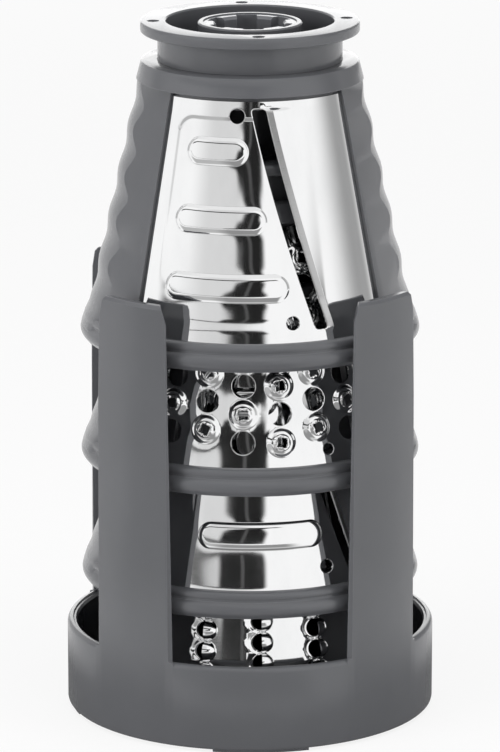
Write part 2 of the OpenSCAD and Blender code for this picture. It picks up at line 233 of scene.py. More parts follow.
def polished_steel(name):
    """Stainless sheet with a mirror polish: faint waves from rolling, and hair-fine wiping marks."""
    m = Material(name)
    wave = m.noise(m.place, 38.0, detail=1.0, rough=0.4)
    wipe = m.noise(m.stretched(m.place, (1, 1, 22)), 240.0, rough=0.6)
    smear = m.noise(m.stretched(m.place, (1, 1, 0.35)), 85.0, detail=4.0, rough=0.6)
    return m.surface(
        Base_Color=m.mix(smear.rise(0.35, 0.8), grey(0.92, 0.003), grey(0.86, 0.005)),
        Metallic=1.0,
        Roughness=wipe * 0.03 + smear.rise(0.45, 0.9) * 0.05 + 0.04,
        Normal=m.bump(wave + wipe * 0.002, 0.00003, 0.4),
    )


def ground_steel(name):
    """Freshly ground cutting face: fine lines square to the edge."""
    m = Material(name)
    lines = m.noise(m.stretched(m.place, (0.2, 0.2, 1)), 3800.0, detail=2.0, rough=0.7)
    return m.surface(
        Base_Color=m.mix(lines, grey(0.6), grey(0.76)),
        Metallic=1.0,
        Roughness=lines * 0.12 + 0.24,
        Normal=m.bump(lines, 0.00001, 0.5),
    )


GREY = moulded_grey("grey_moulding", tone=0.112, roughness=0.2, edge=0.35)
SOCKET_GREY = moulded_grey("socket_moulding", tone=0.15, roughness=0.16, edge=0.3)
STEEL = polished_steel("polished_sheet")
GROUND = ground_steel("ground_edge")


# Steel sheets
MIDDLE_R = 42  # radius at which the steps of a sheet's mesh are even in both directions
DEG_PER_MM = 180 / math.pi / MIDDLE_R
EVEN = np.array([1 / DEG_PER_MM, 1])
CLEARANCE = 0.6  # room round a placed point, as a share of the mesh's step
TOO_NEAR = 0.005  # square millimetres between a loose point and a kept line
ROLL_ROWS = (0.45, 1.0, 1.9)  # rows of points beside a rolled edge, in widths of the roll
ROLL_DEPTH = 0.6  # depth of a rolled edge, in widths of the roll


def smooth(t):
    t = np.clip(t, 0.0, 1.0)
    return t * t * (3 - 2 * t)


def columns(*parts):
    """Points from their coordinates, each a list of numbers or one number for all."""
    return np.stack(np.broadcast_arrays(*parts), axis=-1)


def sheet_r(z):
    return CONE_LOW_R - LEAN * z - SHEET_SINK


def on_cone(angle, z, lift):
    """Points on the sheet's outer face, lifted along its normal."""
    a = np.radians(angle)
    r = sheet_r(z) + lift * math.cos(TILT)
    return columns(r * np.sin(a), -r * np.cos(a), z + lift * math.sin(TILT))


def unrolled(places):
    """The same places as millimetres on the unrolled sheet."""
    angle, z = places[..., 0], places[..., 1]
    return columns(np.radians(angle) * sheet_r(z), z / math.cos(TILT))


class Spot:
    """A place on the sheet from which x runs to the right and y up the slope, in millimetres."""

    def __init__(self, angle, z):
        self.angle = angle
        self.z = z
        self.r = sheet_r(z)

    def offsets(self, angle, z):
        return np.radians(angle - self.angle) * self.r, (z - self.z) / math.cos(TILT)

    def place(self, x, y):
        return columns(self.angle + np.degrees(x / self.r), self.z + y * math.cos(TILT))

    def ring(self, radius, count, start=0.0):
        a = np.linspace(0, 2 * np.pi, count, endpoint=False) + start
        return self.place(radius * np.cos(a), radius * np.sin(a))


def inside(points, loop):
    """Which of the points lie in a closed loop."""
    x, y = points[:, 0], points[:, 1]
    hit = np.zeros(len(points), bool)
    for (x0, y0), (x1, y1) in zip(loop, np.roll(loop, -1, axis=0)):
        if y0 != y1:
            hit ^= ((y0 > y) != (y1 > y)) & (x < (x1 - x0) * (y - y0) / (y1 - y0) + x0)
    return hit


def distance(points, loop):
    """Shortest way from each point to a closed loop."""
    best = np.full(len(points), np.inf)
    for a, b in zip(loop, np.roll(loop, -1, axis=0)):
        run = b - a
        t = np.clip(((points - a) @ run) / max(run @ run, 1e-12), 0, 1)
        best = np.minimum(best, np.hypot(*(points - a - t[:, None] * run).T))
    return best


def nearest(points, others, block=4000):
    """Square of the way from each point to the nearest of the others, found block by block."""
    blocks = [points[i : i + block] for i in range(0, len(points), block)]
    return np.concatenate([((part[:, None] - others) ** 2).sum(axis=-1).min(axis=1) for part in blocks])


def shade_sheet(mesh, facing, count, cut):
    """Smooth shading on the two faces of count triangles, flat on the walls and the cut faces.

    facing holds the normal of each point, and cut the numbers of the triangles ground to an edge.
    """
    mesh.materials.append(STEEL)
    mesh.materials.append(GROUND)
    flat = np.zeros(len(mesh.polygons) * 3)
    mesh.polygons.foreach_get("normal", flat)
    flat = flat.reshape(-1, 3)
    corners = np.zeros(len(mesh.loops), int)
    mesh.loops.foreach_get("vertex_index", corners)
    normals = facing[corners]
    normals[6 * count :] = np.repeat(flat[2 * count :], 4, axis=0)
    normals[: 3 * count].reshape(-1, 3, 3)[cut] = flat[cut][:, None]
    slots = np.zeros(len(mesh.polygons), int)
    slots[cut] = 1
    mesh.polygons.foreach_set("material_index", slots)
    mesh.polygons.foreach_set("use_smooth", [True] * len(mesh.polygons))
    mesh.normals_split_custom_set(normals.tolist())


class Pressing:
    """A steel sheet in the making: its openings, its embossing and the points of its mesh."""

    def __init__(self):
        self.openings = []
        self.rolled = []
        self.creases = []
        self.points = []
        self.shapes = []
        self.thickness = lambda angle, z: np.full(np.shape(angle), SHEET_T)
        self.ground = lambda angle, z: np.zeros(np.shape(angle), bool)

    def open(self, loop, roll=0.0):
        """Cuts an opening, whose edge rolls inwards over a width."""
        self.openings.append(loop)
        if not roll:
            return
        flat = unrolled(loop)
        run = np.roll(flat, -1, axis=0) - np.roll(flat, 1, axis=0)
        out = columns(run[:, 1], -run[:, 0]) / np.linalg.norm(run, axis=1)[:, None]
        if inside(flat[:1] + 0.05 * out[:1], flat)[0]:
            out = -out
        for far in ROLL_ROWS:
            x, y = (flat + out * roll * far).T
            level = y * math.cos(TILT)
            self.points.append(columns(np.degrees(x / sheet_r(level)), level))
        self.rolled.append((flat, roll))

    def hole(self, spot, radius, count=40, roll=0.22):
        self.open(spot.ring(radius, count), roll)

    def emboss(self, shape, points):
        """Adds a shape, which is a height for each place, and the points that its mesh needs."""
        self.shapes.append(shape)
        self.points.append(np.concatenate(points))

    def height(self, angle, z):
        """How far the outer face stands out of the plain cone."""
        total = np.zeros(np.broadcast(angle, z).shape)
        for shape in self.shapes:
            total = total + shape(angle, z)
        here = unrolled(columns(angle, z))
        for loop, roll in self.rolled:
            low, high = loop.min(axis=0) - roll, loop.max(axis=0) + roll
            near = ((here >= low) & (here <= high)).all(axis=-1)
            if near.any():
                into = np.clip(1 - distance(here[near], loop) / roll, 0, 1)
                total[near] -= ROLL_DEPTH * roll * (1 - np.sqrt(1 - into ** 2))
        return total

    def surface(self, angle, z):
        return on_cone(angle, z, self.height(angle, z))

    def normal(self, angle, z, reach=0.02):
        """The outer face's normal, from the face a short reach to each side."""
        turn = np.degrees(reach / MIDDLE_R)
        along = self.surface(angle + turn, z) - self.surface(angle - turn, z)
        up = self.surface(angle, z + reach) - self.surface(angle, z - reach)
        square = np.cross(along, up)
        return square / np.linalg.norm(square, axis=-1, keepdims=True)

    def filling(self, placed, step):
        """A grid of points: whole along the sheet's rim, and elsewhere clear of the placed points."""
        angles = np.linspace(-SHEET_HALF, SHEET_HALF, round(2 * SHEET_HALF / (step * DEG_PER_MM)) + 1)
        levels = np.linspace(SHEET_LOW_Z, SHEET_TOP_Z, round((SHEET_TOP_Z - SHEET_LOW_Z) / step) + 1)
        grid = columns(*np.meshgrid(angles, levels)).reshape(-1, 2)
        rim = np.isin(grid[:, 0], angles[[0, -1]]) | np.isin(grid[:, 1], levels[[0, -1]])
        tree = KDTree(len(placed))
        for number, place in enumerate(placed * EVEN):
            tree.insert((*place, 0), number)
        tree.balance()
        away = np.array([tree.find((*place, 0))[2] for place in grid * EVEN])
        return grid[rim | (away > CLEARANCE * step)]

    def kept_lines(self):
        """Points and edges of the openings, which are closed, and of the creases, which are not."""
        points, edges = [], []
        for lines, closed in ((self.openings, True), (self.creases, False)):
            for line in lines:
                numbers = [len(points) + i for i in range(len(line))]
                points += list(line)
                edges += zip(numbers, numbers[1:] + (numbers[:1] if closed else []))
        return np.array(points), edges

    def triangles(self, step):
        """Meshes the sheet with its openings, and gives its points and triangles."""
        placed = np.concatenate(self.points)
        loose = np.concatenate([self.filling(placed, step), placed])
        angle, z = loose.T
        keep = (np.abs(angle) <= SHEET_HALF) & (z >= SHEET_LOW_Z) & (z <= SHEET_TOP_Z)
        for loop in self.openings:
            keep &= ~inside(loose, loop)
        loose = loose[keep]
        kept, edges = self.kept_lines()
        loose = loose[nearest(loose * EVEN, kept * EVEN) > TOO_NEAR]
        every = np.concatenate([kept, loose]) * EVEN
        found = delaunay_2d_cdt([Vector(p) for p in every], edges, [], 0, 1e-5)
        spots = np.array([tuple(v) for v in found[0]]) / EVEN
        tris = np.array(found[2])
        middle = spots[tris].mean(axis=1)
        for loop in self.openings:
            out = ~inside(middle, loop)
            tris, middle = tris[out], middle[out]
        a, b, c = (spots[tris[:, i]] for i in range(3))
        area = np.cross(b - a, c - a)
        tris[area < 0] = tris[area < 0][:, ::-1]
        return spots, tris[np.abs(area) > 1e-9]

    def mesh(self, name, step):
        """The sheet as a closed mesh with both faces and the walls of its openings."""
        spots, tris = self.triangles(step)
        angle, z = spots.T
        outer = self.surface(angle, z)
        facing = self.normal(angle, z)
        inner = outer - facing * self.thickness(angle, z)[:, None]
        count = len(spots)
        sides = {(t[i], t[(i + 1) % 3]) for t in tris for i in range(3)}
        rims = [(a, b) for a, b in sides if (b, a) not in sides]
        faces = [tuple(t) for t in tris]
        faces += [tuple(count + i for i in t[::-1]) for t in tris]
        faces += [(b, a, count + a, count + b) for a, b in rims]
        mesh = bpy.data.meshes.new(name)
        mesh.from_pydata((np.concatenate([outer, inner]) * MM).tolist(), [], faces)
        cut = np.nonzero(self.ground(*spots[tris].mean(axis=1).T))[0]
        shade_sheet(mesh, np.concatenate([facing, -facing]), len(tris), cut)
        return mesh


# Slicers: a slanting slot with a raised blade on its right, a panel pressed in on its left, and ridges
SLANT = 0.368  # degrees that a slot leans to the left for each millimetre of level
SLOT_LOW, SLOT_TOP = 11.0, SHEET_TOP_Z - 2
SLOT_R = 40  # about the sheet's radius half way up the slot
SLOT_ROUND, SLOT_ROLL = 1.2, 0.3
FLAP_LEAST, FLAP_FULL = 2.2, 9  # narrowest flap, and the width from which a flap rises in full
FLAP_PAST_LOW, FLAP_PAST_TOP = 0.9, 0.7  # how far a flap reaches past the slot's two ends
FLAP_RUN_LOW, FLAP_RUN_TOP = 2.4, 1.7  # lengths over which it comes up from the sheet there
GROUND_MOST, GROUND_SHARE = 1.9, 0.45  # width of the ground edge, at most and as a share of the slot's
GROUND_FALL = 0.26  # for each millimetre towards the cutting edge
EDGE_T, EDGE_GROWS = 0.12, 0.25  # thickness at the cutting edge, and its growth for each millimetre
PANEL_LEFT, PANEL_TOP = 65.4, 71.2  # degrees left of the slot's foot, and level
PANEL_ROUND, PANEL_WALL, PANEL_DEEP = 5.0, 1.1, 0.3
PANEL_FADES_Z, PANEL_FADE = 22, 34
SEAT_RISE, SEAT_LONG = 0.15, 4.0
RIDGE_HALF, RIDGE_H, RIDGE_EDGE, RIDGE_DOME = 4.1, 0.75, 2.2, 0.012
SKIRT_H, SKIRT_W = 0.05, 1.5
RIDGES = ((61.4, 58.6), (42.2, 60.7), (23.2, 61.5))  # level, and degrees left of the slot's foot
RIDGE_GAP = 5.6  # between a ridge's right end and the slot's middle line
SLICER_HOLES = ((-11.5, 71.5, 2.2), (-10.6, 13.3, 2.0))  # degrees from the slot, level, radius


class Slot:
    """The slanting slot of a slicer, from whose middle line x runs square to the right."""

    def __init__(self, foot, width):
        self.foot = foot
        self.width = width
        self.half = width / 2
        self.lean = math.cos(math.atan(math.radians(SLANT) * SLOT_R))

    def angle(self, z):
        return self.foot - SLANT * (z - SLOT_LOW)

    def place(self, x, z):
        return columns(self.angle(z) + np.degrees(x / (sheet_r(z) * self.lean)), z)

    def across(self, angle, z):
        return np.radians(angle - self.angle(z)) * sheet_r(z) * self.lean

    def outline(self):
        """The slot's sides and its ends, which are nearly square with round corners."""
        levels = np.linspace(SLOT_LOW + SLOT_ROUND, SLOT_TOP - SLOT_ROUND, 110)
        turn = np.linspace(0.93, -0.93, 13)
        end = SLOT_ROUND * np.sqrt(1 - turn ** 4)
        return np.concatenate([
            self.place(-self.half, levels),
            self.place(-self.half * turn, SLOT_TOP - SLOT_ROUND + end),
            self.place(self.half, levels)[::-1],
            self.place(self.half * turn, SLOT_LOW + SLOT_ROUND - end),
        ])


def press_blade(sheet, slot, bend, rise):
    """The flap right of the slot: it bends out of the sheet and ends in a ground edge."""
    half = slot.half
    ground = min(GROUND_MOST, GROUND_SHARE * slot.width)

    def reach(z):
        """Width of the flap, from the slot to the line where it bends out of the sheet."""
        return np.clip(np.radians(bend - slot.angle(z)) * sheet_r(z) - half, FLAP_LEAST, None)

    def flap(angle, z):
        x = slot.across(angle, z) - half
        wide = reach(z)
        ends = smooth((z - SLOT_LOW + FLAP_PAST_LOW) / FLAP_RUN_LOW)
        ends = ends * smooth((SLOT_TOP + FLAP_PAST_TOP - z) / FLAP_RUN_TOP)
        ends = ends * (0.8 + 0.2 * smooth((SLOT_TOP - z) / 26))
        left = 1 - np.maximum(x, ground) / wide
        lift = rise * (0.5 + 0.5 * np.clip(wide / FLAP_FULL, 0, 1))
        lift = lift * 0.5 * (left + np.sqrt(left ** 2 + 0.02))
        lift = lift - GROUND_FALL * np.clip(ground - x, 0, ground)
        return np.where(x > -0.7 * half, lift * ends, 0.0)

    def thickness(angle, z):
        x = slot.across(angle, z) - half
        thinned = np.minimum(SHEET_T, EDGE_T + EDGE_GROWS * np.clip(x, 0, None))
        return np.where(np.abs(x - 2) < 2, thinned, SHEET_T)

    def ground_face(angle, z):
        x = slot.across(angle, z)
        on_edge = (x > half) & (x < half + ground - 0.02)
        return on_edge & (z > SLOT_LOW + 0.4) & (z < SLOT_TOP - 0.4)

    rows = np.linspace(SLOT_LOW - 1.5, SLOT_TOP + 1.5, 150)
    bent = reach(rows) - ground
    points = [slot.place(half + x, rows) for x in np.linspace(0.3, ground - 0.25, 4)]
    points += [slot.place(half + ground + t * bent, rows) for t in np.linspace(0.06, 1.5, 13)]
    sheet.emboss(flap, points)
    top_end = np.linspace(SLOT_TOP - 2.2, SLOT_TOP + 1.2, 15)
    low_end = np.linspace(SLOT_LOW - 0.9, SLOT_LOW + 1.5, 10)
    ends = np.concatenate([top_end, low_end])
    sheet.points += [slot.place(half + x, ends) for x in np.arange(0.4, 14, 0.5)]
    sheet.creases.append(slot.place(half + ground, rows[4:-4]))
    sheet.thickness = thickness
    sheet.ground = ground_face


def press_panel(sheet, slot):
    """The panel in front of the blade, pressed inwards a little, that fades out below."""
    edge = slot.foot - PANEL_LEFT

    def panel(angle, z):
        left = np.radians(angle - edge) * sheet_r(z)
        top = PANEL_TOP - z
        painted_corner_highlight = np.hypot(np.clip(PANEL_ROUND - left, 0, None), np.clip(PANEL_ROUND - top, 0, None))
        in_corner = (left < PANEL_ROUND) & (top < PANEL_ROUND)
        inner = np.where(in_corner, PANEL_ROUND - painted_corner_highlight, np.minimum(left, top))
        deep = -PANEL_DEEP * smooth(inner / PANEL_WALL) * smooth((z - PANEL_FADES_Z) / PANEL_FADE)
        return deep * smooth(0.5 - slot.across(angle, z) / 1.2)

    points = []
    down = np.arange(24, PANEL_TOP - PANEL_ROUND, 0.8)
    turn = np.radians(np.linspace(90, 180, 12))
    along = np.linspace(edge + 8, slot.angle(PANEL_TOP) - 3, 40)
    for inner in np.linspace(-0.1, PANEL_WALL + 0.1, 7):
        r = PANEL_ROUND - inner
        x, y = PANEL_ROUND + r * np.cos(turn), PANEL_TOP - PANEL_ROUND + r * np.sin(turn)
        points.append(columns(edge + np.degrees(inner / sheet_r(down)), down))
        points.append(columns(edge + np.degrees(x / sheet_r(y)), y))
        points.append(columns(along, PANEL_TOP - inner))
    sheet.emboss(panel, points)


def press_seat(sheet, level):
    """The step in the sheet over the edge of the bead ring."""

    def seat(angle, z):
        return SEAT_RISE * smooth((z - level + SEAT_LONG / 2) / SEAT_LONG)

    angles = np.arange(-49, 50, 1.0)
    sheet.emboss(seat, [columns(angles, z) for z in np.linspace(level - 2.3, level + 2.3, 10)])


def press_ridge(sheet, left, right, level):
    """A ridge level round the cone, with a domed crown, round ends and a soft skirt."""
    spot = Spot((left + right) / 2, level)
    first = math.radians(left - spot.angle) * spot.r + RIDGE_HALF
    last = math.radians(right - spot.angle) * spot.r - RIDGE_HALF

    def ridge(angle, z):
        x, y = spot.offsets(angle, z)
        away = np.hypot(x - np.clip(x, first, last), y)
        up = np.clip((RIDGE_HALF - away) / RIDGE_EDGE, 0, None)
        up = np.clip(np.hypot(up, 0.06) - 0.06, 0, 1)
        dome = RIDGE_DOME * (1 - np.clip(away / (RIDGE_HALF - RIDGE_EDGE), 0, 1) ** 2)
        crown = RIDGE_H * (1 - (1 - up) ** 3) + dome
        return crown + SKIRT_H * np.exp(-np.clip(away - RIDGE_HALF + 0.5, 0, None) / SKIRT_W)

    crown_rows = np.linspace(0, RIDGE_HALF - 2.5, 6)
    edge_rows = np.linspace(RIDGE_HALF - 2.3, RIDGE_HALF + 0.3, 13)
    skirt_rows = RIDGE_HALF + np.array([0.9, 1.5, 2.2, 3.2])
    x = np.arange(first, last, 0.7)
    turn = np.radians(np.linspace(-90, 90, 21))
    points = []
    for away in np.concatenate([crown_rows, edge_rows, skirt_rows]):
        points += [spot.place(x, side * away) for side in (-1, 1)]
        for end, side in ((first, -1), (last, 1)):
            points.append(spot.place(end + side * away * np.cos(turn), away * np.sin(turn)))
    sheet.emboss(ridge, points)


def slicer(foot, width, bend, rise, seat_z):
    """Slot from foot degrees up, with a flap that bends at bend degrees and rises over the sheet."""
    sheet = Pressing()
    slot = Slot(foot, width)
    sheet.open(slot.outline(), SLOT_ROLL)
    press_blade(sheet, slot, bend, rise)
    press_panel(sheet, slot)
    press_seat(sheet, seat_z)
    for level, span in RIDGES:
        right = slot.angle(level) - math.degrees(RIDGE_GAP / sheet_r(level))
        press_ridge(sheet, foot - span, right, level)
    for shift, level, radius in SLICER_HOLES:
        sheet.hole(Spot(slot.angle(level) + shift, level), radius)
    return sheet


def thick_slicer():
    return slicer(foot=22.2, width=4.0, bend=24.6, rise=1.35, seat_z=12.6)


def thin_slicer():
    return slicer(foot=37.0, width=2.8, bend=40.0, rise=1.2, seat_z=6.6)


# Rasp: plain holes and raised points set like a chessboard
RASP_TURN, RASP_PITCH, RASP_LOW_Z, RASP_ROWS = 14.2, 8, 14.9, 7
RASP_LIFTS = [0, 0, 3.5, 2]  # how much higher a column starts, by its number from the middle
RASP_HOLE_R, POINT_HOLE_R = 3.4, 2.25
CORNER_HOLE, CORNER_HOLE_R = (25.5, 11.8), 1.7  # the small hole at the lower right
POINT_FOOT, POINT_CROWN = 4.55, 2.75  # radii of a raised point
TEAR_HALF = 1.42  # half the width of the tear in a crown
MOUND_H, CROWN_STEP, LIP_Z = 1.0, 0.12, 1.08  # the torn lip starts near the top of the crown's step


def rasp_sites(raised):
    """Places of the raised points, or else of the plain holes."""
    for column in (-3, -2, -1, 1, 2, 3):
        angle = RASP_TURN * (column + (0.5 if column < 0 else -0.5))
        shifted = column == -1 or abs(column) == 3
        for step in range(RASP_ROWS):
            if (step + shifted) % 2 == (0 if raised else 1):
                yield angle, RASP_LOW_Z + RASP_LIFTS[abs(column)] + RASP_PITCH * step


def raised_point(spot):
    """Height of a point's mound, with a small step up to its crown and a soft skirt."""

    def mound(angle, z):
        away = np.hypot(*spot.offsets(angle, z))
        swell = MOUND_H * smooth((POINT_FOOT - away) / (POINT_FOOT - POINT_CROWN))
        swell = swell + CROWN_STEP * smooth((POINT_CROWN - away) / 0.5)
        return swell + 0.1 * np.exp(-np.clip(away - POINT_FOOT + 0.4, 0, None) / 1.5)

    return mound


def rasp():
    sheet = Pressing()
    for angle, z in rasp_sites(False):
        sheet.hole(Spot(angle, z), RASP_HOLE_R, 48)
    for angle, z in rasp_sites(True):
        spot = Spot(angle, z)
        radii = np.linspace(POINT_FOOT, POINT_CROWN - 0.4, 14)
        rings = [spot.ring(r, 40, 0.08 * i) for i, r in enumerate(radii)]
        sheet.emboss(raised_point(spot), rings)
        sheet.open(spot.ring(POINT_HOLE_R, 40))
    sheet.hole(Spot(*CORNER_HOLE), CORNER_HOLE_R, 28)
    return sheet


# Coarse grater: half domes that open to the left over round holes
COARSE_TURN, COARSE_PITCH, COARSE_LOW_Z, COARSE_ROWS = 22.7, 6, 15.7, 9
DOME_HOLE_R, DOME_WIDE, DOME_LONG, DOME_TALL, DOME_WALL = 2.6, 3.3, 3.7, 2.5, 0.6


def coarse_sites():
    for column in (-1, 0, 1):
        shift = 0 if column == 0 else COARSE_PITCH / 2
        for row in range(COARSE_ROWS):
            yield COARSE_TURN * column, COARSE_LOW_Z + COARSE_PITCH * row + shift


def dip_before(spot):
    """Height of the dip in front of a half dome, which leads food to its edge."""

    def dip(angle, z):
        x, y = spot.offsets(angle, z)
        return -0.35 * smooth((3.9 - np.hypot(x + 0.4, y)) / 1.3) * smooth(0.5 - x / 0.8)

    return dip


def coarse():
    sheet = Pressing()
    left = np.radians(np.linspace(90, 270, 25))
    right = np.radians(np.linspace(-90, 90, 27))[1:-1]
    long, wide = DOME_LONG - DOME_WALL, DOME_WIDE - DOME_WALL
    for angle, z in coarse_sites():
        spot = Spot(angle, z)
        before = spot.place(DOME_HOLE_R * np.cos(left), DOME_HOLE_R * np.sin(left))
        under = spot.place(long * np.cos(right), wide * np.sin(right))
        sheet.open(np.concatenate([before, under]))
        arcs = []
        for far in np.linspace(1.06, 1.5, 6):
            arcs.append(spot.place(-DOME_HOLE_R * far * np.cos(right), DOME_HOLE_R * far * np.sin(right)))
        sheet.emboss(dip_before(spot), arcs)
    return sheet


# The step of a sheet's mesh, in millimetres, stands beside the function that presses the sheet
SHEETS = {
    "thick_slicer": (thick_slicer, 1.3),
    "rasp": (rasp, 1.1),
    "thin_slicer": (thin_slicer, 1.3),
    "coarse_grater": (coarse, 1.1),
}


def hang(mesh, name, kind, turn):
    """Sets a copy of a piece on its drum, turned to the front or the back."""
    set_down = Matrix.Translation((0, 0, drum_z(kind) * MM))
    turned = mesh.copy()
    turned.transform(set_down @ Matrix.Rotation(math.radians(TURNS[kind] + turn), 4, "Z"))
    made = link_up(bpy.data.objects.new(name, turned))
    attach(made, kind)
    return made


for kind, (make, step) in SHEETS.items():
    pressed = make().mesh(kind + "_pressing", step)
    for label, turn in SIDES.items():
        node = "%s_%s_sheet" % (kind, label)
        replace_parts(hang(pressed, node + "_pressed", kind, turn), node)
    bpy.data.meshes.remove(pressed)


# Torn lips and half domes, repeated over their sheets by Geometry Nodes
class Pattern(Graph):
    """A geometry tree with named inputs, which is run once and kept as a plain mesh."""

    def __init__(self, name):
        super().__init__(bpy.data.node_groups.new(name, "GeometryNodeTree"))
        self.name = name
        self.values = {}
        self.inlet = self.tree.nodes.new("NodeGroupInput")
        self.outlet = self.tree.nodes.new("NodeGroupOutput")
        self.tree.interface.new_socket("Geometry", in_out="OUTPUT", socket_type="NodeSocketGeometry")

    def takes(self, name, kind, value=None):
        """Adds a named input, and keeps its value for the run."""
        made = self.tree.interface.new_socket(name, in_out="INPUT", socket_type="NodeSocket" + kind)
        if value is not None:
            self.values[made.identifier] = value
        return Value(self, self.inlet.outputs[name])

    def run(self, start, result):
        """Runs the tree on a mesh, and gives the mesh that comes out."""
        self.tree.links.new(result.socket, self.outlet.inputs[0])
        holder = link_up(bpy.data.objects.new(self.name, start))
        modifier = holder.modifiers.new(self.name, "NODES")
        modifier.node_group = self.tree
        for identifier, value in self.values.items():
            modifier[identifier] = value
        bpy.context.view_layer.update()
        finished = holder.evaluated_get(bpy.context.evaluated_depsgraph_get())
        made = bpy.data.meshes.new_from_object(finished)
        holder.modifiers.remove(modifier)
        bpy.data.objects.remove(holder)
        return made


def spread_over_sheet(name, sites, piece, finish, lift, spin, seed):
    """Repeats a piece at places of a sheet, each standing on the cone and turned by chance."""
    p = Pattern(name)
    places = p.takes("Places", "Geometry")
    shape = p.takes("Piece", "Object", piece)
    low_r = p.takes("Radius at the bottom", "Float", CONE_LOW_R - SHEET_SINK)
    lean = p.takes("Lean of the cone", "Float", LEAN)
    tilt = p.takes("Tilt of the face", "Float", TILT)
    out = p.takes("Lift", "Float", lift)
    turn = p.takes("Chance turn", "Float", spin)
    roll = p.takes("Seed", "Int", seed)
    material = p.takes("Finish", "Material", finish)
    angle, level, _ = p.split(p.node("GeometryNodeInputPosition"))
    radius = low_r - level * lean + out * math.cos(TILT)
    height = (level + out * math.sin(TILT)) * MM
    spot = p.join(radius * angle.math("SINE") * MM, radius * angle.math("COSINE") * -MM, height)
    points = p.node("GeometryNodeMeshToPoints", inputs={"Mesh": places})
    moved = p.node("GeometryNodeSetPosition", inputs={"Geometry": points, "Position": spot})
    x, y, _ = p.split(p.node("GeometryNodeInputPosition"))
    facing = p.join(math.pi / 2 - tilt, 0.0, x.math("ARCTAN2", y * -1.0))
    euler = p.node("FunctionNodeEulerToRotation", inputs={0: facing})
    source = p.node("GeometryNodeObjectInfo", inputs={"Object": shape}, output="Geometry")
    stood = p.node(
        "GeometryNodeInstanceOnPoints",
        inputs={"Points": moved, "Instance": source, "Rotation": euler},
    )
    chance = p.node(
        "FunctionNodeRandomValue",
        {"data_type": "FLOAT"},
        {2: turn * -1.0, 3: turn, "Seed": roll},
        output=1,
    )
    own = p.node("FunctionNodeEulerToRotation", inputs={0: p.join(0.0, 0.0, chance)})
    spun = p.node(
        "GeometryNodeRotateInstances",
        inputs={"Instances": stood, "Rotation": own, "Local Space": True},
    )
    real = p.node("GeometryNodeRealizeInstances", inputs={0: spun})
    done = p.node("GeometryNodeSetMaterial", inputs={"Geometry": real, "Material": material})
    start = bpy.data.meshes.new(name + "_places")
    start.from_pydata([(math.radians(a), z, 0) for a, z in sites], [], [])
    return p.run(start, done)


def round_faces(build, smooth_below):
    """Smooth shading, apart from the edges that are sharper than smooth_below says in degrees."""
    for face in build.faces:
        face.smooth = True
    for edge in build.edges:
        limit = math.radians(smooth_below(edge))
        edge.smooth = len(edge.link_faces) == 2 and edge.calc_face_angle(0) < limit


def shell(name, rings, closed):
    """A closed mesh from rings of points, where each ring joins the next and the last the first."""
    count = len(rings[0])
    faces = []
    for i in range(len(rings)):
        j = (i + 1) % len(rings)
        for k in range(count if closed else count - 1):
            n = (k + 1) % count
            faces.append((i * count + k, i * count + n, j * count + n, j * count + k))
    if not closed:
        starts = [i * count for i in range(len(rings))]
        faces += [tuple(starts), tuple(i + count - 1 for i in reversed(starts))]
    mesh = bpy.data.meshes.new(name)
    mesh.from_pydata((np.concatenate(rings) * MM).tolist(), [], faces)
    build = bmesh.new()
    build.from_mesh(mesh)
    bmesh.ops.remove_doubles(build, verts=build.verts, dist=1e-7)
    bmesh.ops.recalc_face_normals(build, faces=build.faces)
    round_faces(build, lambda edge: 42)
    build.to_mesh(mesh)
    build.free()
    return link_up(bpy.data.objects.new(name, mesh))


def torn_lip():
    """Crown of one rasp point: a ring that curls up and ends in a ragged four-sided tear."""
    a = np.linspace(0, 2 * np.pi, 48, endpoint=False)
    ragged = 0.11 * np.sin(5 * a + 0.7) + 0.07 * np.sin(11 * a + 2.1) + 0.05 * np.sin(17 * a)
    square = 1 / np.maximum(np.abs(np.cos(a)), np.abs(np.sin(a)))
    edge = TEAR_HALF * np.minimum(square, 1.34) + ragged
    outer, inner = [], []
    for t in np.linspace(0, 1, 7):
        r = (1 - t) * POINT_CROWN * 0.94 + t * edge
        h = 0.02 + 0.5 * math.sin(math.pi * 0.62 * t) + t ** 2 * (0.16 * np.cos(4 * a) + ragged)
        outer.append(columns(r * np.cos(a), r * np.sin(a), h))
        r = r * (0.99 - 0.03 * t)
        inner.append(columns(r * np.cos(a), r * np.sin(a), h - 0.34 + 0.16 * t))
    return shell("torn_lip", outer + inner[::-1], True)


def half_dome():
    """One tooth of the coarse grater: a quarter of an egg's shell, open to the left."""
    a = np.radians(np.linspace(-90, 90, 29))

    def skin(inset):
        long, wide, tall = DOME_LONG - inset, DOME_WIDE - inset, DOME_TALL - inset
        for up in np.radians(np.linspace(-4, 90, 13)):
            flat = math.cos(up)
            yield columns(long * flat * np.cos(a), wide * flat * np.sin(a), tall * math.sin(up))

    return shell("half_dome", list(skin(0)) + list(skin(DOME_WALL))[::-1], False)


for kind, piece, sites, lift, spin in (
    ("rasp", torn_lip(), rasp_sites(True), LIP_Z, 0.5),
    ("coarse_grater", half_dome(), coarse_sites(), 0.0, 0.02),
):
    repeated = spread_over_sheet(kind + "_points", sites, piece, STEEL, lift, spin, seed=7)
    for label, turn in SIDES.items():
        hang(repeated, "%s_%s_sheet_points" % (kind, label), kind, turn)
    bpy.data.meshes.remove(repeated)
    bpy.data.objects.remove(piece)


# Mouldings
DIMPLE_PITCH_R, DIMPLE_REACH = 28.25, 1.1  # circle on which the dimples lie, and room round one
DIMPLE_WIDER = 2.0
RIB_HALF = 40  # half the degrees that a side rib shows
RIB_LOW_Z, RIB_TOP_Z = 11.5, BAND_Z - 0.5
SCALLOP_ENDS = 5.5  # degrees inside a rib's edge
SCALLOP_FALL = 0.0015  # share of the radius lost with each degree in from the edge
SMOOTH_BELOW, RIB_SMOOTH_BELOW = 32, 8.7  # degrees between faces that are shaded as one


